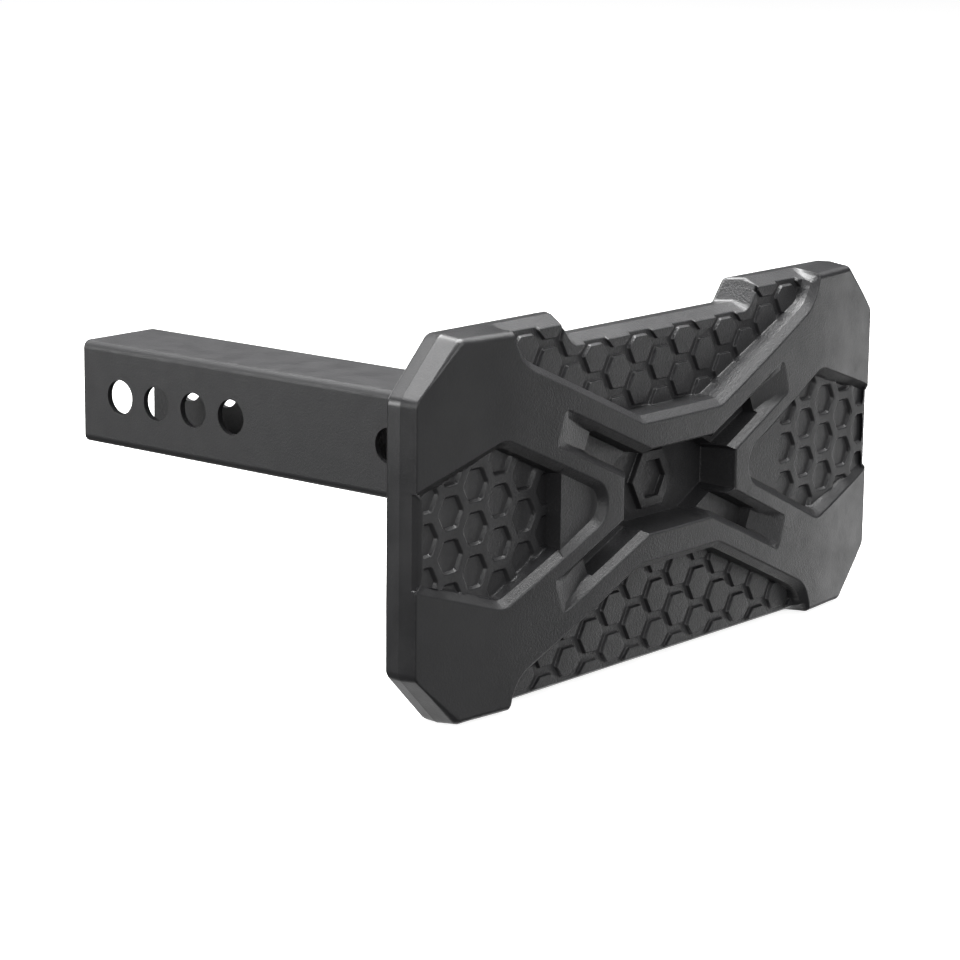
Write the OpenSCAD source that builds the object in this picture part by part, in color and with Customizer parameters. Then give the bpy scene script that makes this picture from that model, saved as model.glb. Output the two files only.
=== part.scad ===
// Tailgate step: a square receiver tube with a wide moulded rubber tread pad across its end.
// X runs across the pad, Y runs back along the tube to its free end, and Z is up.
// The origin is the centre of the hitch-pin hole nearest the free end, on the tube's axis.

/* [Receiver tube] */
// Outside width and height of the square tube
tube_w = 50.8; // [50:0.1:52]
// Wall thickness of the tube
tube_wall = 3; // [2.5:0.5:5]
// Outside corner radius of the tube
tube_r = 4; // [3.5:0.5:6]
// Distance from the first pin hole to the open end
free_end = 25; // [20:1:40]
// Diameter of the hitch-pin holes
pin_hole_d = 17; // [16:0.5:17.5]
// Spacing of the pin holes in the row
hole_pitch = 25; // [22:1:30]
// Number of pin holes in the row
row_holes = 4; // [2:1:5]
// Distance from the first pin hole to the lone hole near the pad
lone_hole = 175; // [150:5:200]

/* [Tread pad] */
// Distance from the first pin hole to the back of the pad
pad_back = 294; // [290:1:320]
// Full width of the pad at its widest line
pad_w = 328; // [320:1:336]
// Full height of the pad at its widest line
pad_h = 161; // [156:1:168]
// Thickness of the flat slab behind the raised frame
slab_t = 16; // [15:0.5:20]
// How far the raised frame stands above the slab at the middle of the pad
crown = 11.5; // [9:0.5:13]
// Size of the cut across each outer corner
corner_cut = 24; // [18:1:28]
// Draft of the rim on each side of its widest line
rim_draft = 0.8; // [0.4:0.1:1.5]
// Depth of the step in the top edge between the two ears
notch_drop = 10; // [6:1:12]

/* [Pad pattern] */
// Spacing of the hexagons from centre to centre
hex_pitch = 18; // [16:0.5:20]
// Width across the flats of a raised hexagon
island_flats = 13.2; // [11:0.1:14]
// Width across the flats of a sunk hexagon
pocket_flats = 13.7; // [11:0.1:14]
// Height of the raised hexagons and depth of the sunk ones
relief = 3; // [2:0.5:4]
// Depth of the centre window below the crown
window_depth = 19; // [14:0.5:20]

/* [Mounting plate] */
// Width of the steel mounting plate
plate_w = 240; // [232:2:280]
// Height of the steel mounting plate
plate_h = 120; // [116:2:140]
// Thickness of the steel mounting plate
plate_t = 6; // [5:0.5:8]
// Leg length of the fillet weld around the tube
weld_leg = 6; // [4:0.5:8]

/* [Fasteners] */
// Thread diameter of the pad bolts
bolt_d = 8; // [8:1:10]
// Length of a pad bolt under its head
bolt_len = 22; // [20:1:23]
// Outside diameter of a threaded insert
insert_d = 12; // [12:0.5:14]
// Length of a threaded insert
insert_len = 14; // [13.5:0.5:16]
// Thickness of the stiffening plate moulded into the pad
core_t = 3; // [2:0.5:3]

/* [Hidden] */
$fn = 64;
eps = 0.01;
clear = 10;
big = 2 * pad_w;

// Pad heights are counted forward from its back face.
half_w = pad_w / 2;
half_h = pad_h / 2;
rim_line = slab_t / 2;
face_w = half_w - rim_draft;
face_h = half_h - rim_draft;
pad_top = slab_t + crown;
crown_r = (face_w * face_w + crown * crown) / (2 * crown);
valley = slab_t - relief;

// Corners of the raised X frame at its front face, for X and Z above zero.
arm_x = 28;
arm_z = 31.6;
ear_x = 100;
ear_z = 64;
ear_top_x = 108.5;
window_x = 41;
window_z = 9.3;
window_top = 19;
groove_x = 22.5;
groove_in = [83.5, 28.4];
groove_out = [78, 43.4];
ramp_x = 58;
ramp_z = 20.9;
ramp_low = 20;
ramp_len = 28;
window_draft = 1.2;
medal_r = 15;
medal_hole_r = 9.5;
medal_t = 4.5;
side_tip_x = 51.5;
side_tip_z = 3;
side_bend = 6;
side_x = 116;
side_z = 33;
side_open_z = 20;
ledge_x = 79;
ledge_drop = 6.7;
field_x = 126;
field_z = 51.8;
rim_strip = 76;

// The notch between the ears, in the top edge.
notch_x = 57;
notch_slope = 10;
notch_z = half_h - notch_drop;

// Hardware behind the pad.
plate_back = pad_back - plate_t;
plate_cut = 18;
bolt_at = [[62, 0], [100, 46], [100, -46], [-62, 0], [-100, 46], [-100, -46]];
clear_d = bolt_d + 1;
washer_d = 2 * bolt_d;
washer_t = 1.6;
lock_d = 1.85 * bolt_d;
lock_t = 2;
lock_cut = 1;
thread_play = 0.1;
washer_play = 0.2;
head_flats = 13;
head_t = 5.3;
core_w = 280;
core_h = 130;
core_at = 2.5;
flange_d = 18;
flange_t = 2;
insert_floor = 1.5;

// Places a shape drawn in X and Z on the pad, starting h forward of the pad's back face.
module forward(h = 0) {
    translate([0, -pad_back - h, 0]) rotate([90, 0, 0]) children();
}

// Repeats a shape in the four quarters of the pad.
module four_ways() {
    for (mx = [0, 1]) for (mz = [0, 1]) mirror([mx, 0, 0]) mirror([0, 0, mz]) children();
}

// Places a bolt-axis part, drawn upward along Z, at every bolt position, h behind the pad's back face.
module at_bolts(h = 0) {
    for (p = bolt_at) translate([p[0], -pad_back + h, p[1]]) rotate([-90, 0, 0]) children();
}

module rounded_bar(w, r, from, to) {
    translate([0, from, 0]) rotate([-90, 0, 0]) linear_extrude(to - from) union() {
        square([w, w - 2 * r], center = true);
        square([w - 2 * r, w], center = true);
        for (sx = [1, -1]) for (sy = [1, -1]) {
            translate([sx * (w / 2 - r), sy * (w / 2 - r)]) circle(r);
        }
    }
}

module pin_hole(back) {
    translate([-tube_w, -back, 0]) rotate([0, 90, 0]) cylinder(d = pin_hole_d, h = 2 * tube_w);
}

module receiver_tube() {
    color([0.07, 0.07, 0.075]) difference() {
        rounded_bar(tube_w, tube_r, -plate_back, free_end);
        rounded_bar(tube_w - 2 * tube_wall, tube_r - tube_wall, -plate_back - 1, free_end + 1);
        for (i = [0 : row_holes - 1]) pin_hole(i * hole_pitch);
        pin_hole(lone_hole);
    }
}

module mounting_plate() {
    x = plate_w / 2;
    z = plate_h / 2;
    color([0.08, 0.08, 0.085]) difference() {
        translate([0, -plate_back, 0]) rotate([90, 0, 0]) linear_extrude(plate_t) polygon([
            [x, z - plate_cut], [x - plate_cut, z], [plate_cut - x, z], [-x, z - plate_cut],
            [-x, plate_cut - z], [plate_cut - x, -z], [x - plate_cut, -z], [x, plate_cut - z]]);
        at_bolts(-1) cylinder(d = clear_d, h = plate_t + 2);
    }
}

// One fillet weld runs along each flat of the tube and turns each corner.
module weld_beads() {
    flat = tube_w - 2 * tube_r;
    color([0.09, 0.09, 0.095]) translate([0, -plate_back, 0]) rotate([-90, 0, 0]) union() {
        for (a = [0 : 90 : 270]) rotate([0, 0, a]) {
            translate([tube_w / 2, flat / 2, 0]) rotate([90, 0, 0]) linear_extrude(flat)
                polygon([[0, 0], [weld_leg, 0], [0, weld_leg]]);
            translate([flat / 2, flat / 2, 0]) rotate_extrude(angle = 90)
                polygon([[tube_r, 0], [tube_r + weld_leg, 0], [tube_r, weld_leg]]);
        }
    }
}

// Outline of the pad's octagon.
function octagon(w, h, c) = [[w, h - c], [w - c, h], [c - w, h], [-w, h - c],
                             [-w, c - h], [c - w, -h], [w - c, -h], [w, c - h]];

// Cuts one side of the rim to its draft: a is the side's direction, and d its distance from the axis.
module rim_cut(a, d, height, slope) {
    translate([0, -pad_back - rim_line, 0]) rotate([0, -a, 0]) translate([d, 0, 0])
        rotate([0, 0, slope]) translate([0, height > 0 ? -height : 0, -big / 2])
            cube([big, abs(height), big]);
}

module pad_blank() {
    draft = atan(rim_draft / rim_line);
    diagonal = (half_w + half_h - corner_cut) / sqrt(2);
    difference() {
        forward() linear_extrude(pad_top) polygon(octagon(half_w, half_h, corner_cut));
        for (way = [1, -1]) {
            for (a = [0, 180]) rim_cut(a, half_w, way * pad_w, way * draft);
            for (a = [90, 270]) rim_cut(a, half_h, way * pad_w, way * draft);
            for (a = [45 : 90 : 315]) rim_cut(a, diagonal, way * pad_w, way * draft);
        }
        difference() {
            forward(slab_t - 1) linear_extrude(crown + 2)
                square([pad_w + clear, pad_h + clear], center = true);
            translate([0, crown_r - pad_back - pad_top, -pad_h])
                cylinder(r = crown_r, h = 2 * pad_h, $fn = 360);
        }
    }
}

// Front face of the crowned frame, x from the pad's middle.
function face_at(x) = pad_top - crown_r + sqrt(crown_r * crown_r - x * x);

// Unit normal of the side from a to b, to its left.
function left_of(a, b) = [a[1] - b[1], b[0] - a[0]] / norm(b - a);

// Corner i of a convex outline, moved inwards so that both its sides move by d.
function inset_corner(o, i, d) =
    let (n = len(o), a = left_of(o[(i + n - 1) % n], o[i]), b = left_of(o[i], o[(i + 1) % n]))
    o[i] + (a + b) * d / (1 + a * b);

function inset(o, d) = [for (i = [0 : len(o) - 1]) inset_corner(o, i, d)];

// Sinks an outline from the front of the frame down to height low.
module sink(outline, low) {
    forward(low) linear_extrude(pad_top - low + 1) polygon(outline);
}

// Outline of the recess between two ears, anticlockwise.
function end_recess() =
    let (right = [[arm_x, arm_z], [ear_x, ear_z], [(ear_x + 2 * ear_top_x) / 3, (2 * ear_z + half_h) / 3],
                  [ear_top_x, half_h - 1], [ear_top_x, half_h + clear]])
    concat(right, [for (i = [len(right) - 1 : -1 : 0]) [-right[i][0], right[i][1]]]);

// Outline of one side recess, open through the rim, anticlockwise.
function side_recess_outline() =
    let (lower = [[side_tip_x, -side_tip_z], [side_tip_x + side_tip_z, -2.5 * side_tip_z],
                  [side_x - side_bend, side_bend / 3 - side_z], [side_x, -side_z],
                  [side_x + side_bend, side_bend / 6 - side_z], [half_w + clear, side_bend / 2 - side_open_z]])
    concat(lower, [for (i = [len(lower) - 1 : -1 : 0]) [lower[i][0], -lower[i][1]]]);

// Hexagons of a field, on columns to each side of x0, with every other column half a pitch lower.
module hex_field(x0, z0, columns, rows, flats) {
    for (i = [-columns : columns]) for (j = [-rows : rows]) {
        translate([x0 + i * hex_pitch * sqrt(3) / 2, z0 + (j - (i % 2 == 0 ? 0 : 0.5)) * hex_pitch])
            circle(r = flats / sqrt(3), $fn = 6);
    }
}

// The raised hexagons stand in the recess and are cut off at its walls.
module islands() {
    forward(valley - eps) linear_extrude(relief + eps) intersection() {
        polygon(inset(end_recess(), -eps));
        hex_field(0, field_z, 7, 2, island_flats);
        translate([-half_w, 0]) square([pad_w, rim_strip]);
    }
}

// One diagonal groove: a level floor, a step up, and a ramp out to the front face.
module groove() {
    plan = [[window_x, window_z], groove_in, groove_out, [groove_x, window_top], [groove_x / 2, window_top / 2]];
    run = groove_in - [window_x, window_z];
    rear = -pad_back - slab_t;
    front = -pad_back - pad_top - 1;
    intersection() {
        sink(plan, slab_t);
        translate([ramp_x, 0, ramp_z]) rotate([0, -atan2(run[1], run[0]), 0])
            linear_extrude(pad_w, center = true) polygon([
                [-pad_w, rear], [0, rear], [0, -pad_back - ramp_low],
                [ramp_len, -pad_back - face_at(groove_in[0])], [ramp_len, front], [-pad_w, front]]);
    }
}

module window() {
    low = pad_top - window_depth;
    right = [[groove_x, -window_top], [window_x, -window_z], [window_x, window_z], [groove_x, window_top]];
    outline = concat(right, [for (p = right) -p]);
    forward(low) linear_extrude(window_depth + 1) polygon(inset(outline, window_draft));
}

module side_recess() {
    difference() {
        sink(side_recess_outline(), slab_t);
        forward(slab_t - 1) linear_extrude(ledge_drop + 1) translate([0, -half_h]) square([ledge_x, pad_h]);
    }
    forward(slab_t - relief) linear_extrude(relief + 1) intersection() {
        polygon(side_recess_outline());
        hex_field(field_x, 0, 3, 2, pocket_flats);
        translate([ledge_x, -half_h]) square([half_w, pad_h]);
    }
}

module top_notch() {
    forward(-1) linear_extrude(pad_top + 2) polygon([
        [notch_x, notch_z], [notch_x + notch_slope, half_h], [notch_x + notch_slope, half_h + clear],
        [-notch_x - notch_slope, half_h + clear], [-notch_x - notch_slope, half_h], [-notch_x, notch_z]]);
}

// Plain six-sided medallion on the floor of the centre window.
module medallion() {
    forward(pad_top - window_depth - eps) linear_extrude(medal_t) difference() {
        circle(r = medal_r, $fn = 6);
        circle(r = medal_hole_r, $fn = 6);
    }
}

module step_pad() {
    color([0.05, 0.05, 0.055]) difference() {
        union() {
            difference() {
                pad_blank();
                sink(end_recess(), valley);
                mirror([0, 0, 1]) sink(end_recess(), valley);
                four_ways() groove();
                window();
                side_recess();
                mirror([1, 0, 0]) side_recess();
            }
            islands();
            mirror([0, 0, 1]) islands();
            medallion();
        }
        top_notch();
        core_blank();
        at_bolts(-insert_len) cylinder(d = insert_d, h = insert_len + 1);
        at_bolts(-core_at - core_t - flange_t) cylinder(d = flange_d, h = flange_t);
    }
}

module core_blank() {
    forward(core_at) linear_extrude(core_t) polygon(octagon(core_w / 2, core_h / 2, corner_cut));
}

module core_plate() {
    color([0.45, 0.46, 0.47]) difference() {
        core_blank();
        at_bolts(-core_at - core_t - 1) cylinder(d = insert_d, h = core_t + 2);
    }
}

module pad_inserts() {
    color([0.72, 0.68, 0.52]) difference() {
        union() {
            at_bolts(-insert_len) cylinder(d = insert_d, h = insert_len);
            at_bolts(-core_at - core_t - flange_t) cylinder(d = flange_d, h = flange_t);
        }
        at_bolts(insert_floor - insert_len) cylinder(d = bolt_d, h = insert_len);
    }
}

module pad_bolts() {
    under_head = plate_t + washer_t + lock_t;
    color([0.55, 0.56, 0.58]) {
        at_bolts(under_head) cylinder(r = head_flats / sqrt(3), h = head_t, $fn = 6);
        at_bolts(under_head - bolt_len) cylinder(d = bolt_d - thread_play, h = bolt_len);
    }
}

module flat_washers() {
    color([0.6, 0.61, 0.63]) at_bolts(plate_t) difference() {
        cylinder(d = washer_d, h = washer_t);
        translate([0, 0, -1]) cylinder(d = bolt_d + 2 * washer_play, h = washer_t + 2);
    }
}

// Split spring washers, each with its cut.
module lock_washers() {
    color([0.5, 0.51, 0.53]) at_bolts(plate_t + washer_t) difference() {
        cylinder(d = lock_d, h = lock_t);
        translate([0, 0, -1]) cylinder(d = bolt_d + washer_play, h = lock_t + 2);
        translate([0, -lock_cut / 2, -1]) cube([lock_d, lock_cut, lock_t + 2]);
    }
}

receiver_tube();
mounting_plate();
weld_beads();
step_pad();
core_plate();
pad_inserts();
pad_bolts();
flat_washers();
lock_washers();
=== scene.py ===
"""Tailgate step: a square receiver tube with a wide moulded rubber tread pad.

Lengths of the pad's own geometry are in millimetres: x across the pad, z up, and w forward from its back.
"""

import math

import bmesh
import bpy
import numpy as np
from mathutils import Matrix, Vector
from mathutils.geometry import delaunay_2d_cdt


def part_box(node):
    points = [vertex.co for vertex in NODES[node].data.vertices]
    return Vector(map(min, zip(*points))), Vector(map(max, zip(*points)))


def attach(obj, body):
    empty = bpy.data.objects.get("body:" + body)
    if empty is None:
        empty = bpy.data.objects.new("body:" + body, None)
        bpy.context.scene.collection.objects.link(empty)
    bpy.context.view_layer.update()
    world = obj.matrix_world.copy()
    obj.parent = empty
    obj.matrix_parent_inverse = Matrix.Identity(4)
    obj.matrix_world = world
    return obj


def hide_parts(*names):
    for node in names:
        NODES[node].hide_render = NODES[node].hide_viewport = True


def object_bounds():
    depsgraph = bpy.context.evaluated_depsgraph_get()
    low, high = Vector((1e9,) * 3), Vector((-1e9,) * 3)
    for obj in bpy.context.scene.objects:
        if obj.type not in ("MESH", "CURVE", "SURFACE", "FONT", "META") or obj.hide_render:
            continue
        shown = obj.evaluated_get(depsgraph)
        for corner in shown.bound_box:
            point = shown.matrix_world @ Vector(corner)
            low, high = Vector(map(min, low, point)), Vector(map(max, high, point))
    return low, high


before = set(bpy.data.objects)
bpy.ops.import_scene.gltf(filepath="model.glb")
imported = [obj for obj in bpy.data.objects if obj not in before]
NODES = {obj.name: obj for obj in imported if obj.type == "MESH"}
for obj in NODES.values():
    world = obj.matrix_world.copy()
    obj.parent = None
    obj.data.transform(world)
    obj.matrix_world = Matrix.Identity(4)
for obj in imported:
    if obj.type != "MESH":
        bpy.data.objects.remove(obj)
CAD_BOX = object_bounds()
MM = 0.001

PAD_LOW, PAD_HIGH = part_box("step_pad")
HALF_W = PAD_HIGH.x / MM
HALF_H = PAD_HIGH.z / MM
BACK_Y = PAD_HIGH.y
CROWN_W = (BACK_Y - PAD_LOW.y) / MM
CROWN_R = 1163.8
# Heights over the back face: the rim of the tread, the floor between the islands, and the parting line.
TREAD_W = 16.0
FLOOR_W = 13.8
PART_W = 8.0

# Widths across a recess's edge: half its rounding, its wall, the fillet at its floor, and the slopes.
ROUND = 0.55
WALL_RUN = 0.6
LIP = 0.8
END_SLOPE = 3.3
SIDE_SLOPE = 3.3
GROOVE_SLOPE = 3.0

# Hexagons: raised islands in the upper and lower recess, sunk pockets at the sides. FLAT is half the width
# across flats, and TRIM the share of the corner that is kept.
HEX_PITCH = 18.0
HEX_COLUMN = HEX_PITCH * math.sqrt(3) / 2
ISLAND_FLAT = 7.0
ISLAND_TRIM = 0.975
POCKET_FLAT = 6.85
POCKET_TRIM = 0.95
POCKET_LIP = 0.8
END_FIELD_Z = 51.8
SIDE_FIELD_X = 126.1

# The raised ledges beside the pockets, and the ramps at the outer ends of the grooves.
LEDGE_X = 79.2
LEDGE_W = 22.7
GROOVE_TURN = math.radians(24.4)
RAMP_START = 65.3
RAMP_END = 89.3
RAMP_W = 20.8
RAMP_TOP_W = 24.65
STEP_RUN = 0.35
STEP_REACH = 19.5
GROOVE_SPAN = (-8.9, 7.9)
GROOVE_W = 15.5

# The centre window and the ring on its floor.
WINDOW_W = 8.5
WINDOW_RUN = 1.5
WINDOW_LIP = 0.7
MEDAL_FLAT = 12.6
MEDAL_HOLE_FLAT = 8.0

# The rim: how far its shift reaches inwards, its lean in front of the parting line at the tread and at the
# frame, the bevel beside the pockets, the back's draft and rounding, the parting line's flash, the ears'
# flare, and the rounding of the front edge.
RIM_EASE = 8.0
LEAN_AT = (108, 110)
LEAN = (4.2, 0.9)
FRONT_LEAN = 0.05
BEVEL_WIDTH = 9
BEVEL_REACH = 19.5
BEVEL_AT = (PART_W, 14.6, TREAD_W)
BEVEL = (0, 0.8, 4.6)
BACK_DRAFT = 0.3
BACK_ROUND = 2.0
FLASH = 0.07
FLASH_EDGES = ((0.35, 0.0), (0.12, FLASH), (-0.12, FLASH), (-0.35, 0.0))
SIDE_SHARES = (0.82, 0.5, 0.25)
BACK_TURNS = (0, 22.5, 45, 67.5, 90)
EAR_FLARE = 6.0
EAR_FROM_Z = 60
EAR_AT = (46, 58, 72, 86)
FRAME_FILLET = 3.4
TREAD_FILLET = 0.7
FILLET = (0.0, 0.1, 0.4, 0.9, 1.55, 2.4, 3.4)

# The front's mesh: the crown's facets, the points handled at once, the distance that merges points, and the
# step inside an outline at which a direction is taken.
FACET = 5.5
FIRST_FACET = -159.5
CHUNK = 4096
MERGE = 0.02
NUDGE = 0.02


# ---------------------------------------------------------------- outlines

def outline(corners, level=0.0, turn=math.radians(10)):
    """The anticlockwise shape with these corners (x, z, radius), moved inwards by level."""
    out = []
    for i, (x, z, r) in enumerate(corners):
        p = np.array((x, z))
        back = np.array(corners[i - 1][:2]) - p
        ahead = np.array(corners[(i + 1) % len(corners)][:2]) - p
        back /= np.linalg.norm(back)
        ahead /= np.linalg.norm(ahead)
        middle = (back + ahead) / np.linalg.norm(back + ahead)
        half = math.acos(np.clip(back @ ahead, -1, 1)) / 2
        side = 1 if back[0] * ahead[1] - back[1] * ahead[0] < 0 else -1
        p = p + middle * side * level / math.sin(half)
        r = max(r - side * level, 0) if r > 0 else 0
        if r == 0:
            out.append(p)
            continue
        centre = p + middle * r / math.sin(half)
        start = p + back * r / math.tan(half) - centre
        end = p + ahead * r / math.tan(half) - centre
        a0 = math.atan2(start[1], start[0])
        sweep = (math.atan2(end[1], end[0]) - a0 + math.pi) % (2 * math.pi) - math.pi
        steps = max(2, math.ceil(abs(sweep) / turn))
        for k in range(steps + 1):
            a = a0 + sweep * k / steps
            out.append(centre + r * np.array((math.cos(a), math.sin(a))))
    return np.array(out)


def mirrored(corners):
    """Closes the right half of an outline, listed upwards, with its left half."""
    return corners + [(-x, z, r) for x, z, r in reversed(corners)]


def flipped(line, sx, sz):
    """An outline mirrored in x or z, still anticlockwise."""
    out = line * (sx, sz)
    return out if sx * sz > 0 else out[::-1]


def depth_in(line, pts):
    """Distance from each point to a closed outline, positive inside it."""
    a = line
    ab = np.roll(line, -1, 0) - a
    length2 = (ab * ab).sum(1)
    out = np.empty(len(pts))
    for i in range(0, len(pts), CHUNK):
        some = pts[i:i + CHUNK]
        p = some[:, None, :] - a
        t = np.clip((p * ab).sum(2) / length2, 0, 1)
        near = p - t[..., None] * ab
        dist = np.sqrt((near * near).sum(2).min(1))
        up = (a[:, 1] <= some[:, 1:2]) != (np.roll(a, -1, 0)[:, 1] <= some[:, 1:2])
        with np.errstate(divide="ignore", invalid="ignore"):
            cross_x = a[:, 0] + (some[:, 1:2] - a[:, 1]) * ab[:, 0] / ab[:, 1]
        inside = (up & (some[:, 0:1] < cross_x)).sum(1) % 2 == 1
        out[i:i + CHUNK] = np.where(inside, dist, -dist)
    return out


# Corners as (x, z, radius): the end recess above the middle, and the right-hand side recess and groove.
END_AT = mirrored([(28.5, 30.2, 9), (108.6, 66.2, 19), (110.5, 96, 0)])
SIDE_AT = [(35.3, 0, 11.3), (114.3, -35.9, 12), (176, -16.2, 0), (176, 16.2, 0), (114.3, 35.9, 12)]
GROOVE_AT = [(30, 4.1, 0), (85.3, 29.3, 2.2), (78.3, 43.6, 2.2), (8, 12.4, 0)]
WINDOW_AT = mirrored([(22.5, -19, 2), (41, -9.3, 2), (41, 9.3, 2), (22.5, 19, 2)])
CUT = 24
CUT_ROUND = 6
RIM_AT = mirrored([
    (HALF_W - CUT, -HALF_H, CUT_ROUND), (HALF_W, CUT - HALF_H, CUT_ROUND),
    (HALF_W, HALF_H - CUT, CUT_ROUND), (HALF_W - CUT, HALF_H, CUT_ROUND),
    (69, HALF_H, 3.5), (61, 70.5, 3)])
END = outline(END_AT)
SIDE = outline(SIDE_AT)
GROOVE = outline(GROOVE_AT)
WINDOW = outline(WINDOW_AT)


# ---------------------------------------------------------------- heights

def crown_at(x):
    """Height of the frame's crowned front."""
    return CROWN_W - CROWN_R + np.sqrt(CROWN_R ** 2 - x * x)


def hex_columns(x0, z0, columns, rows):
    """Centres of a field of flat-topped hexagons, with every other column half a pitch lower."""
    out = []
    for i in range(-columns, columns + 1):
        for j in range(-rows, rows + 1):
            out.append((x0 + i * HEX_COLUMN, z0 + (j - 0.5 * (i % 2)) * HEX_PITCH))
    return np.array(out)


ISLANDS = hex_columns(0, END_FIELD_Z, 7, 2)
POCKETS = hex_columns(SIDE_FIELD_X, 0, 4, 2)


def hex_depth(pts, centres, flat, trim=1.0):
    """Depth inside the nearest hexagon, whose corners are slightly cut."""
    best = np.full(len(pts), -99.0)
    for c in centres:
        d = np.abs(pts - c)
        flats = np.maximum(d[:, 1], d[:, 0] * math.sqrt(0.75) + d[:, 1] / 2)
        tips = np.maximum(d[:, 0], d[:, 0] / 2 + d[:, 1] * math.sqrt(0.75))
        depth = np.minimum(flat - flats, flat * trim * 2 / math.sqrt(3) - tips)
        best = np.maximum(best, depth)
    return best


def hex_ring(centre, flat, level, trim=1.0):
    """Twelve-sided outline of a hexagon with cut corners, moved inwards by level."""
    near = flat - level
    far = flat * trim * 2 / math.sqrt(3) - level
    out = []
    for k in range(12):
        a = math.radians(30 * k)
        b = math.radians(30 * (k + 1))
        da, db = (far, near) if k % 2 == 0 else (near, far)
        det = math.cos(a) * math.sin(b) - math.sin(a) * math.cos(b)
        x = (da * math.sin(b) - db * math.sin(a)) / det
        z = (db * math.cos(a) - da * math.cos(b)) / det
        out.append((centre[0] + x, centre[1] + z))
    return np.array(out)


# Each profile gives depths inside a hexagon and the step in height there.
ISLAND_PROFILE = ([-0.6, -0.35, -0.15, 0.1, 0.25, 0.5], [0, 0.08, 0.3, 1.2, 1.42, 1.5])
MEDAL_AT = np.zeros((1, 2))
MEDAL_PROFILE = ([-0.4, -0.1, 0.05, 0.25, 0.55], [0, 0.3, 2.2, 2.5, 2.6])
POCKET_PROFILE = ([-0.5, -0.15, 0.15, 0.85, 1.4], [0, 0.1, 0.4, 1.4, 1.6])


def recess(s, top, slope, floor, run=WALL_RUN, lip=LIP):
    """Height at depth s inside a recess of the frame: rounded edge, slope, wall, fillet and floor."""
    edge = top - np.where(s < ROUND, (np.clip(s, -ROUND, ROUND) + ROUND) ** 2 / (4 * ROUND), s)
    foot = floor + np.minimum(lip, np.maximum(0, top - slope - floor) / 2)
    t = np.clip((s - slope) / run, 0, 1)
    wall = (top - slope) * (1 - t) + foot * t
    u = np.clip((s - slope - run) / lip, 0, 1)
    base = floor + (foot - floor) * (1 - np.sqrt(1 - (1 - u) ** 2))
    out = np.where(s < slope, edge, np.where(s < slope + run, wall, base))
    out = np.where(s < -ROUND, top, out)
    return np.where(s > 0, np.maximum(out, np.minimum(floor, top)), out)


def pad_height(pts):
    """Height of the pad's front over its back face, before its rim is shaped."""
    x, z = pts[:, 0], pts[:, 1]
    ax = np.abs(x)
    folded = np.stack((ax, np.abs(z)), 1)
    top = crown_at(x)
    islands = hex_depth(np.stack((x, np.abs(z)), 1), ISLANDS, ISLAND_FLAT, ISLAND_TRIM)
    end_floor = FLOOR_W + np.interp(islands, *ISLAND_PROFILE)
    pockets = hex_depth(folded, POCKETS, POCKET_FLAT, POCKET_TRIM)
    pockets = np.minimum(pockets, HALF_W - POCKET_LIP - ax)
    web = TREAD_W - np.interp(pockets, *POCKET_PROFILE)
    side_floor = np.where(ax < LEDGE_X, LEDGE_W, web)
    along = ax * math.cos(GROOVE_TURN) + np.abs(z) * math.sin(GROOVE_TURN)
    ramp = RAMP_W + (along - RAMP_START) / (RAMP_END - RAMP_START) * (RAMP_TOP_W - RAMP_W)
    groove_floor = np.where(along < RAMP_START - STEP_RUN / 2, GROOVE_W, ramp)
    height = recess(depth_in(END, np.stack((x, np.abs(z)), 1)), top, END_SLOPE, end_floor)
    height = np.minimum(height, recess(depth_in(SIDE, folded), top, SIDE_SLOPE, side_floor))
    height = np.minimum(height, recess(depth_in(GROOVE, folded), top, GROOVE_SLOPE, groove_floor))
    outer = np.interp(hex_depth(pts, MEDAL_AT, MEDAL_FLAT), *MEDAL_PROFILE)
    inner = np.interp(hex_depth(pts, MEDAL_AT, MEDAL_HOLE_FLAT), *MEDAL_PROFILE)
    window_floor = WINDOW_W + outer - inner
    window = recess(depth_in(WINDOW, pts), top, ROUND, window_floor, WINDOW_RUN, WINDOW_LIP)
    return np.minimum(height, window)


def rim_inset(x, z, w):
    """How far the rim stands inside its widest line at height w."""
    ax = np.abs(x)
    lean = np.interp(ax, LEAN_AT, LEAN)
    front = lean * np.minimum(1, (w - PART_W) / (TREAD_W - PART_W)) + FRONT_LEAN * np.maximum(0, w - TREAD_W)
    bevel = np.interp(w, BEVEL_AT, BEVEL)
    front = np.where((ax > HALF_W - BEVEL_WIDTH) & (np.abs(z) < BEVEL_REACH), bevel, front)
    return np.where(w > PART_W, front, BACK_DRAFT * (PART_W - w) / PART_W)


# ---------------------------------------------------------------- the pad's mesh

def clipped(line, area):
    """The stretches of a closed outline that lie inside a convex area."""
    out = []
    ahead = np.roll(area, -1, 0) - area
    left = np.stack((-ahead[:, 1], ahead[:, 0]), 1)
    for i, p in enumerate(line):
        q = line[(i + 1) % len(line)]
        dp = ((p - area) * left).sum(1)
        dq = ((q - area) * left).sum(1)
        low, high = 0.0, 1.0
        for a, b in zip(dp, dq):
            if a < 0 and b < 0:
                low, high = 1.0, 0.0
            elif a < 0:
                low = max(low, a / (a - b))
            elif b < 0:
                high = min(high, a / (a - b))
        if high - low > 1e-3:
            out.append((p + (q - p) * low, p + (q - p) * high))
    return out


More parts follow.
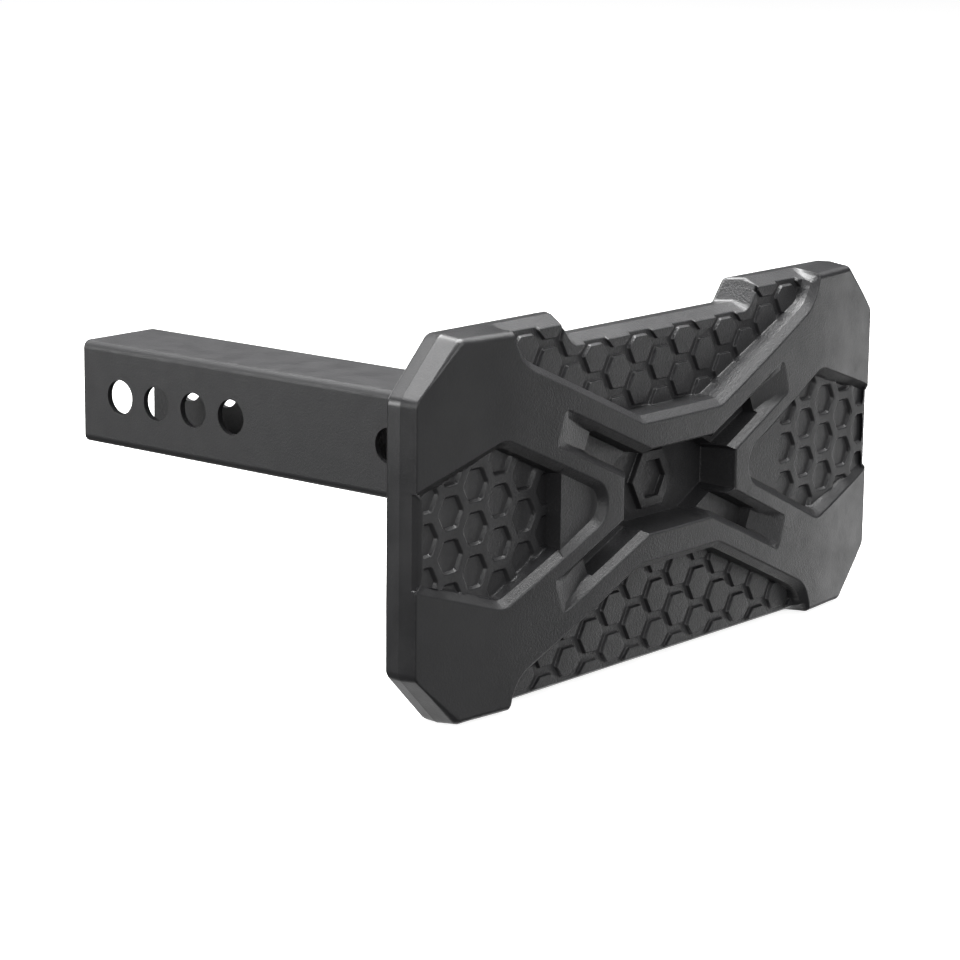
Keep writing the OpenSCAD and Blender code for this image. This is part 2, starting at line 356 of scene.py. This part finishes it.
def hexagon_lines():
    """The islands' and pockets' outlines, as far as their recess's wall."""
    out = []
    end_area = outline(END_AT, END_SLOPE + WALL_RUN / 2)
    side_area = outline(SIDE_AT, SIDE_SLOPE + WALL_RUN / 2)
    for centre in ISLANDS:
        for level in ISLAND_PROFILE[0]:
            for piece in clipped(hex_ring(centre, ISLAND_FLAT, level, ISLAND_TRIM), end_area):
                out.extend(np.array(piece) * (1, sz) for sz in (1, -1))
    for centre in POCKETS:
        for level in POCKET_PROFILE[0]:
            for piece in clipped(hex_ring(centre, POCKET_FLAT, level, POCKET_TRIM), side_area):
                out.extend(np.array(piece) * (sx, 1) for sx in (1, -1))
    return out


ROUNDING = (-ROUND, -ROUND / 3, ROUND / 3, ROUND)


def edge_levels(slope):
    """Depths inside a recess at which its slope, wall and fillet begin and end."""
    foot = slope + WALL_RUN
    return ROUNDING + (slope, foot, foot + LIP / 3, foot + LIP)


def pad_lines():
    """Every closed outline that the front's triangles have to follow."""
    lines = []
    for sz in (1, -1):
        lines.extend(flipped(outline(END_AT, level), 1, sz) for level in edge_levels(END_SLOPE))
    for sx in (1, -1):
        lines.extend(flipped(outline(SIDE_AT, level), sx, 1) for level in edge_levels(SIDE_SLOPE))
        for sz in (1, -1):
            lines.extend(flipped(outline(GROOVE_AT, level), sx, sz) for level in edge_levels(GROOVE_SLOPE))
    foot = ROUND + WINDOW_RUN
    for level in ROUNDING + (foot, foot + WINDOW_LIP / 3, foot + WINDOW_LIP):
        lines.append(outline(WINDOW_AT, level))
    for level in MEDAL_PROFILE[0]:
        lines.append(hex_ring(MEDAL_AT[0], MEDAL_FLAT, level))
        lines.append(hex_ring(MEDAL_AT[0], MEDAL_HOLE_FLAT, level))
    return lines


def groove_point(along, across):
    """A point of the upper right groove, by its distances along and across the groove's direction."""
    c, s = math.cos(GROOVE_TURN), math.sin(GROOVE_TURN)
    return np.array((along * c - across * s, along * s + across * c))


def cross_lines():
    """Straight lines across the pad: the crown's facets, and the steps of the ledges and grooves."""
    out = []
    for x in np.arange(FIRST_FACET, -FIRST_FACET + 0.5, FACET):
        out.append(((x, -HALF_H), (x, HALF_H)))
    for sx in (1, -1):
        edges = [HALF_W - POCKET_LIP - level for level in POCKET_PROFILE[0]]
        for x in [LEDGE_X - STEP_RUN / 2, LEDGE_X + STEP_RUN / 2] + edges:
            out.append(((sx * x, -STEP_REACH), (sx * x, STEP_REACH)))
        for sz in (1, -1):
            for along in (RAMP_START - STEP_RUN, RAMP_START):
                low, high = (np.array((sx, sz)) * groove_point(along, across) for across in GROOVE_SPAN)
                out.append((low, high))
    return out


def subdivided(line, step):
    """A closed outline with points along its sides no further apart than about step."""
    out = []
    for i, p in enumerate(line):
        q = line[(i + 1) % len(line)]
        parts = max(1, round(np.linalg.norm(q - p) / step))
        out.extend(p + (q - p) * k / parts for k in range(parts))
    return np.array(out)


def front_mesh():
    """Points (x, z) and triangles of the pad's front, as far as the rim."""
    pts = []
    edges = []
    rim = outline(RIM_AT)

    def add(line, closed=True):
        first = len(pts)
        pts.extend(line)
        n = len(line)
        for i in range(n if closed else n - 1):
            edges.append((first + i, first + (i + 1) % n))

    for level in FILLET:
        add(subdivided(outline(RIM_AT, level), 3))
    for line in pad_lines():
        if depth_in(rim, line).max() > 0:
            add(line)
    for line in cross_lines() + hexagon_lines():
        add(np.array(line), False)
    verts, _, faces, _, _, _ = delaunay_2d_cdt([Vector(p) for p in pts], edges, [], 0, MERGE, False)
    flat = np.array([tuple(v) for v in verts])
    centre = np.array([flat[list(f)].mean(0) for f in faces])
    keep = depth_in(rim, centre) > 1e-3
    faces = [f for f, k in zip(faces, keep) if k]
    used = sorted({v for f in faces for v in f})
    place = {v: i for i, v in enumerate(used)}
    return flat[used], [tuple(place[v] for v in f) for f in faces]


def inward(line, pts):
    """Unit direction into a closed outline at each point."""
    step = 0.01
    gx = depth_in(line, pts + (step, 0)) - depth_in(line, pts - (step, 0))
    gz = depth_in(line, pts + (0, step)) - depth_in(line, pts - (0, step))
    grad = np.stack((gx, gz), 1)
    return grad / np.maximum(np.linalg.norm(grad, axis=1), 1e-9)[:, None]


def quarter_drop(s, r):
    """How far a rounded edge of radius r has dropped at depth s inside the rim."""
    t = np.clip(s, 0, r)
    return r - np.sqrt(r * r - (r - t) ** 2)


def ear_flare(x, z, w):
    """How far the inner end of an ear reaches inwards behind the widest line."""
    if z < EAR_FROM_Z or w > PART_W:
        return 0
    share = np.interp(abs(x), EAR_AT, (0, 1, 1, 0))
    return EAR_FLARE * share * (PART_W - w) / PART_W


def boundary_loop(faces):
    """The front's border vertices in order."""
    after = {}
    edges = set()
    for f in faces:
        for i, v in enumerate(f):
            edges.add((v, f[(i + 1) % len(f)]))
    for a, b in edges:
        if (b, a) not in edges:
            after[a] = b
    start = min(after)
    loop = [start]
    while after[loop[-1]] != start:
        loop.append(after[loop[-1]])
    return loop


def pad_points(flat, w):
    """Moves the front's points in to follow the rim's lean and gives them in metres."""
    rim = outline(RIM_AT)
    depth = depth_in(rim, flat)
    near = depth < RIM_EASE
    shift = np.zeros(len(flat))
    share = 1 - np.maximum(0, depth[near]) / RIM_EASE
    shift[near] = rim_inset(flat[near, 0], flat[near, 1], w[near]) * share
    way = np.zeros_like(flat)
    way[near] = inward(rim, flat[near])
    moved = flat + way * shift[:, None]
    return np.stack((moved[:, 0] * MM, BACK_Y - w * MM, moved[:, 1] * MM), 1)


def back_faces(points, loop):
    """Triangles over the flat back, inside its border loop."""
    border = np.array([(points[i][0], points[i][2]) for i in loop]) / MM
    around = [(i, (i + 1) % len(border)) for i in range(len(border))]
    verts, _, faces, origins, _, _ = delaunay_2d_cdt([Vector(p) for p in border], around, [], 0, 1e-5, True)
    source = [o[0] if o else int(((border - tuple(v)) ** 2).sum(1).argmin()) for o, v in zip(origins, verts)]
    out = []
    for f in faces:
        middle = np.mean([tuple(verts[i]) for i in f], axis=0)
        corners = [loop[source[i]] for i in f]
        if depth_in(border, middle[None])[0] > 0 and len(set(corners)) == 3:
            out.append(tuple(corners))
    return out


def build_pad():
    """The tread pad: its front, the rings down its rim past the parting line, and its flat back."""
    flat, faces = front_mesh()
    rim = outline(RIM_AT)
    surface = pad_height(flat)
    depth = depth_in(rim, flat)
    frame_like = np.clip((surface - TREAD_W - 1) / 3, 0, 1)
    radius = TREAD_FILLET + (FRAME_FILLET - TREAD_FILLET) * frame_like
    w = surface - quarter_drop(depth, radius)
    points = [tuple(p) for p in pad_points(flat, w)]
    loop = boundary_loop(faces)
    base = flat[loop]
    way = inward(rim, base - inward(rim, base) * NUDGE)
    rings = [loop]

    def add_ring(height, inset):
        first = len(points)
        for p, n, h, i in zip(base, way, height, inset):
            x, z = p + n * i
            x -= math.copysign(ear_flare(x, z, h), x)
            points.append((x * MM, BACK_Y - h * MM, z * MM))
        rings.append(list(range(first, first + len(loop))))

    one = np.ones(len(loop))
    top = w[loop]
    flash_top = PART_W + FLASH_EDGES[0][0]
    for share in SIDE_SHARES:
        height = flash_top + (top - flash_top) * share
        add_ring(height, rim_inset(base[:, 0], base[:, 1], height))
    for height, out in FLASH_EDGES:
        inset = rim_inset(base[:, 0], base[:, 1], one * (PART_W + height))
        add_ring(one * (PART_W + height), inset - out)
    for turn in BACK_TURNS:
        a = math.radians(turn)
        height = BACK_ROUND * (1 - math.sin(a))
        inset = BACK_DRAFT * (PART_W - BACK_ROUND) / PART_W + BACK_ROUND * (1 - math.cos(a))
        add_ring(one * height, one * inset)
    faces = [tuple(reversed(f)) for f in faces]
    for upper, lower in zip(rings, rings[1:]):
        for i in range(len(loop)):
            j = (i + 1) % len(loop)
            faces.append((upper[i], upper[j], lower[j], lower[i]))
    faces.extend(back_faces(points, rings[-1]))
    return solid_piece("tread_pad", points, faces)


# ---------------------------------------------------------------- weld and bolts

WELD_LEG = 6.0
WELD_PITCH = 2.6
WELD_BULGE = 0.45
WELD_RIPPLE = 0.1
WELD_CRESCENT = 0.35
WELD_STEP = 0.65
TUBE_CORNER = 4.0
HEAD_FLAT = 6.5
HEAD_H = 5.3
HEAD_CROWN = 6.2
HEAD_SLOPE = math.tan(math.radians(30))
SHANK_R = 3.95
TIP_CUT = 0.8
BOLT_AT = [(62, 0), (100, 46), (100, -46), (-62, 0), (-100, 46), (-100, -46)]


def loft(rings, capped):
    """Points and faces over rings of equally many points; the last ring meets the first unless capped."""
    n = len(rings[0])
    points = [tuple(p) for ring in rings for p in ring]
    faces = []
    for k in range(len(rings) - (1 if capped else 0)):
        low = k * n
        high = (k + 1) % len(rings) * n
        for i in range(n):
            j = (i + 1) % n
            faces.append((low + i, low + j, high + j, high + i))
    if capped:
        faces.append(tuple(range(n)))
        faces.append(tuple(range(len(points) - n, len(points))))
    return points, faces


def build_weld():
    """A fillet weld round the tube, with the crescent ripples of its passes."""
    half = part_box("receiver_tube")[1].x / MM
    plate_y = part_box("weld_beads")[0].y
    corners = ((1, -1), (1, 1), (-1, 1), (-1, -1))
    square = outline([(sx * half, sz * half, TUBE_CORNER) for sx, sz in corners])
    path = subdivided(square, WELD_STEP)
    way = inward(square, path - inward(square, path) * NUDGE)
    steps = np.linalg.norm(np.roll(path, -1, 0) - path, axis=1)
    along = np.concatenate(([0], np.cumsum(steps)[:-1])) / steps.sum()
    passes = round(steps.sum() / WELD_PITCH)
    turns = np.radians(np.linspace(0, 90, 9))
    rings = []
    for p, n, share in zip(path, way, along):
        ring = [(p[0] * MM, plate_y, p[1] * MM)]
        for t in turns:
            phase = share * passes + WELD_CRESCENT * math.sin(2 * t)
            ripple = WELD_RIPPLE * (1 - abs(math.sin(math.pi * phase))) * math.sin(2 * t)
            flat = WELD_LEG / (math.cos(t) + math.sin(t))
            r = (flat + (WELD_LEG - flat) * WELD_BULGE) * (1 - ripple)
            out = p - n * r * math.sin(t)
            ring.append((out[0] * MM, plate_y + r * math.cos(t) * MM, out[1] * MM))
        rings.append(ring)
    return solid_piece("ripple_weld", *loft(rings, False))


def build_bolts():
    """Hexagon-head bolts whose heads are turned to a cone at the corners."""
    low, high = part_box("pad_bolts")
    seat = high.y / MM - HEAD_H
    angles = np.radians(np.arange(0, 360, 5))
    across = HEAD_FLAT / np.cos(np.radians((np.degrees(angles)) % 60 - 30))
    shoulder = seat + HEAD_H - np.maximum(0, across - HEAD_CROWN) * HEAD_SLOPE
    one = np.ones(len(angles))
    tip = low.y / MM
    profile = [(SHANK_R - TIP_CUT, tip), (SHANK_R, tip + TIP_CUT), (SHANK_R, seat), (across, seat),
               (across, shoulder), (HEAD_CROWN, seat + HEAD_H)]
    points = []
    faces = []
    for x, z in BOLT_AT:
        rings = []
        for r, y in profile:
            r, y = r * one, y * one
            rings.append(np.stack(((x + r * np.cos(angles)) * MM, y * MM, (z + r * np.sin(angles)) * MM), 1))
        more, sides = loft(rings, True)
        faces.extend(tuple(len(points) + i for i in f) for f in sides)
        points.extend(more)
    return solid_piece("hex_bolts", points, faces)


def solid_piece(name, points, faces):
    """A closed mesh object with outward normals and smooth shading between its sharp edges."""
    mesh = bpy.data.meshes.new(name)
    mesh.from_pydata(points, [], faces)
    mesh.validate()
    bm = bmesh.new()
    bm.from_mesh(mesh)
    bmesh.ops.recalc_face_normals(bm, faces=bm.faces)
    bm.to_mesh(mesh)
    bm.free()
    obj = bpy.data.objects.new(name, mesh)
    bpy.context.scene.collection.objects.link(obj)
    smooth_by_angle(obj)
    weight_normals(obj)
    return obj


def smooth_by_angle(obj):
    obj.data.shade_smooth()
    obj.data.set_sharp_from_angle(angle=SHARP_ANGLE)


SHARP_ANGLE = math.radians(30)
AREA_WEIGHT = 80


def apply_modifiers(obj):
    depsgraph = bpy.context.evaluated_depsgraph_get()
    mesh = bpy.data.meshes.new_from_object(obj.evaluated_get(depsgraph), preserve_all_data_layers=True,
                                           depsgraph=depsgraph)
    obj.modifiers.clear()
    obj.data = mesh


def weight_normals(obj):
    """Large flat faces keep their own normal and the narrow rounded edges take up the turn."""
    modifier = obj.modifiers.new("weighted", "WEIGHTED_NORMAL")
    modifier.mode = "FACE_AREA"
    modifier.keep_sharp = True
    modifier.weight = AREA_WEIGHT
    apply_modifiers(obj)


# ---------------------------------------------------------------- materials

class Nodes:
    """Short forms for building a material's node tree."""

    def __init__(self, name):
        self.material = bpy.data.materials.new(name)
        self.material.use_nodes = True
        self.tree = self.material.node_tree
        self.shader = self.tree.nodes["Principled BSDF"]
        self.coords = self.tree.nodes.new("ShaderNodeTexCoord").outputs["Object"]
        split = self.tree.nodes.new("ShaderNodeSeparateXYZ")
        self.link(self.coords, split.inputs[0])
        self.across = split.outputs[0]

    def link(self, a, b):
        self.tree.links.new(a, b)

    def noise(self, scale, detail=3.0, rough=0.5):
        n = self.tree.nodes.new("ShaderNodeTexNoise")
        n.inputs["Scale"].default_value = scale
        n.inputs["Detail"].default_value = detail
        n.inputs["Roughness"].default_value = rough
        self.link(self.coords, n.inputs["Vector"])
        return n.outputs["Fac"]

    def remap(self, value, low, high, out_low, out_high):
        n = self.tree.nodes.new("ShaderNodeMapRange")
        for i, v in enumerate((low, high, out_low, out_high)):
            n.inputs[i + 1].default_value = v
        self.link(value, n.inputs[0])
        return n.outputs[0]

    def absolute(self, value):
        n = self.tree.nodes.new("ShaderNodeMath")
        n.operation = "ABSOLUTE"
        self.link(value, n.inputs[0])
        return n.outputs[0]

    def mix(self, fac, a, b):
        n = self.tree.nodes.new("ShaderNodeMix")
        n.data_type = "RGBA"
        self.link(fac, n.inputs[0])
        n.inputs[6].default_value = (*a, 1)
        n.inputs[7].default_value = (*b, 1)
        return n.outputs[2]

    def bump(self, height, strength, distance, normal=None):
        n = self.tree.nodes.new("ShaderNodeBump")
        if isinstance(strength, float):
            n.inputs["Strength"].default_value = strength
        else:
            self.link(strength, n.inputs["Strength"])
        n.inputs["Distance"].default_value = distance
        self.link(height, n.inputs["Height"])
        if normal is not None:
            self.link(normal, n.inputs["Normal"])
        return n.outputs["Normal"]


# Distances from the middle, in metres, between which the rubber's grain fades.
GRAIN_FADE = (0.1, 0.13)


def rubber():
    """Black rubber with a moulded grain, fainter towards the pad's two ends."""
    m = Nodes("pad_rubber")
    blotch = m.remap(m.noise(28, 4), 0.35, 0.65, 0, 1)
    colour = m.mix(blotch, (0.013, 0.013, 0.014), (0.018, 0.018, 0.019))
    m.link(colour, m.shader.inputs["Base Color"])
    m.link(m.remap(m.noise(60, 5, 0.65), 0.3, 0.7, 0.28, 0.4), m.shader.inputs["Roughness"])
    fade = m.remap(m.absolute(m.across), *GRAIN_FADE, 0.6, 0.15)
    grain = m.bump(m.noise(1000, 3, 0.7), fade, 0.0004)
    m.link(m.bump(m.noise(420, 3, 0.5), 0.12, 0.0003, grain), m.shader.inputs["Normal"])
    return m.material


def powder_coat():
    """Black powder coat with a faint orange-peel texture."""
    m = Nodes("powder_coat")
    colour = m.mix(m.noise(60, 4), (0.012, 0.012, 0.013), (0.017, 0.017, 0.018))
    m.link(colour, m.shader.inputs["Base Color"])
    m.link(m.remap(m.noise(90, 3), 0.3, 0.7, 0.46, 0.56), m.shader.inputs["Roughness"])
    m.link(m.bump(m.noise(950, 3, 0.7), 0.3, 0.0003), m.shader.inputs["Normal"])
    return m.material


def metal(name, dull, bright, rough, scale):
    """Bare or plated metal, mottled between two colours."""
    m = Nodes(name)
    m.shader.inputs["Metallic"].default_value = 1
    m.link(m.mix(m.noise(scale, 4), dull, bright), m.shader.inputs["Base Color"])
    roughness = m.remap(m.noise(scale * 3, 3), 0.3, 0.7, rough - 0.06, rough + 0.08)
    m.link(roughness, m.shader.inputs["Roughness"])
    m.link(m.bump(m.noise(900, 2), 0.3, 0.0001), m.shader.inputs["Normal"])
    return m.material


def wear(obj, material):
    obj.data.materials.clear()
    obj.data.materials.append(material)


RUBBER = rubber()
COAT = powder_coat()
ZINC = metal("zinc_steel", (0.5, 0.49, 0.45), (0.66, 0.66, 0.66), 0.32, 260)
STEEL = metal("bare_steel", (0.36, 0.36, 0.37), (0.5, 0.5, 0.51), 0.38, 180)
BRASS = metal("insert_metal", (0.6, 0.48, 0.24), (0.74, 0.62, 0.36), 0.34, 220)
for node, material in (("receiver_tube", COAT), ("mounting_plate", COAT), ("core_plate", STEEL),
                       ("pad_inserts", BRASS), ("flat_washers", ZINC), ("lock_washers", ZINC)):
    wear(NODES[node], material)
    smooth_by_angle(NODES[node])

for piece, node, material, finish in ((build_pad(), "step_pad", RUBBER, "pad_rubber"),
                                      (build_weld(), "weld_beads", COAT, "powder_coat"),
                                      (build_bolts(), "pad_bolts", ZINC, "zinc_steel")):
    wear(piece, material)
    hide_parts(node)
    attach(piece, "root")


# ---------------------------------------------------------------- stage

def aim(obj, at, target):
    obj.location = at
    obj.rotation_euler = (Vector(target) - Vector(at)).to_track_quat("-Z", "Y").to_euler()


def softbox(name, at, target, width, height, power):
    light = bpy.data.lights.new(name, "AREA")
    light.shape = "RECTANGLE"
    light.size = width
    light.size_y = height
    light.energy = power
    obj = bpy.data.objects.new(name, light)
    bpy.context.scene.collection.objects.link(obj)
    aim(obj, at, target)


CAMERA_AT = (-1.0932, -1.1109, 0.2916)
CAMERA_LOOK = (0.75355, 0.62250, -0.21133)
CAMERA_LENS = 119.54
CAMERA_ROLL = -0.63


def build_camera():
    camera = bpy.data.cameras.new("camera")
    camera.sensor_width = 36
    camera.lens = CAMERA_LENS
    camera.clip_end = 100
    obj = bpy.data.objects.new("camera", camera)
    bpy.context.scene.collection.objects.link(obj)
    obj.location = CAMERA_AT
    look = Vector(CAMERA_LOOK)
    turn = look.to_track_quat("-Z", "Y").to_matrix()
    roll = Matrix.Rotation(math.radians(CAMERA_ROLL), 3, look)
    obj.rotation_euler = (roll @ turn).to_euler()
    bpy.context.scene.camera = obj


def build_floor():
    """A pale floor at the object's lowest point, bright enough to read as a white sweep."""
    bm = bmesh.new()
    bmesh.ops.create_grid(bm, x_segments=1, y_segments=1, size=30)
    mesh = bpy.data.meshes.new("floor")
    bm.to_mesh(mesh)
    bm.free()
    floor = bpy.data.objects.new("floor", mesh)
    bpy.context.scene.collection.objects.link(floor)
    floor.location.z = CAD_BOX[0][2]
    m = Nodes("floor_white")
    m.shader.inputs["Roughness"].default_value = 0.9
    m.shader.inputs["Base Color"].default_value = (0.5, 0.5, 0.5, 1)
    m.shader.inputs["Emission Color"].default_value = (1, 1, 1, 1)
    m.shader.inputs["Emission Strength"].default_value = 0.85
    wear(floor, m.material)
    floor.visible_diffuse = False
    floor.visible_glossy = False
    floor.visible_shadow = False


MIDDLE = (0, -0.2, 0)
WORLD_STRENGTH = 0.12
# Each light's name, place, width, height and power.
LIGHTS = (
    ("overhead", (0.3, 0.0, 2.0), 1.6, 1.6, 140),
    ("overhead_front", (0.7, -1.1, 1.8), 1.2, 1.2, 26),
    ("overhead_back", (-0.72, 0.85, 1.9), 1.2, 1.2, 26),
    ("overhead_right", (1.9, -0.4, 1.5), 1.2, 1.2, 5),
    ("right", (2.3, -1.0, -0.6), 1.0, 1.0, 6),
    ("front", (1.2, -2.2, -0.7), 1.2, 1.2, 2.3),
    ("front_left", (-1.9, -1.5, 0.5), 1.5, 1.5, 20),
    ("centre", (0.1, -2.6, 0.9), 1.6, 1.2, 20),
    ("left", (-2.4, -0.1, 0.6), 1.2, 1.2, 17),
    ("back_left", (-1.9, 1.6, 0.4), 0.9, 0.9, 29),
    ("low", (0.85, 0.35, -1.5), 2.0, 2.0, 11),
    ("rear", (0.6, 2.6, 0.8), 1.6, 1.2, 14),
)

build_camera()
build_floor()
for light, place, wide, high, watts in LIGHTS:
    softbox(light + "_light", place, MIDDLE, wide, high, watts)
world = bpy.data.worlds.new("studio")
world.use_nodes = True
world.node_tree.nodes["Background"].inputs["Color"].default_value = (1, 1, 1, 1)
world.node_tree.nodes["Background"].inputs["Strength"].default_value = WORLD_STRENGTH
bpy.context.scene.world = world
bpy.context.scene.view_settings.view_transform = "Standard"
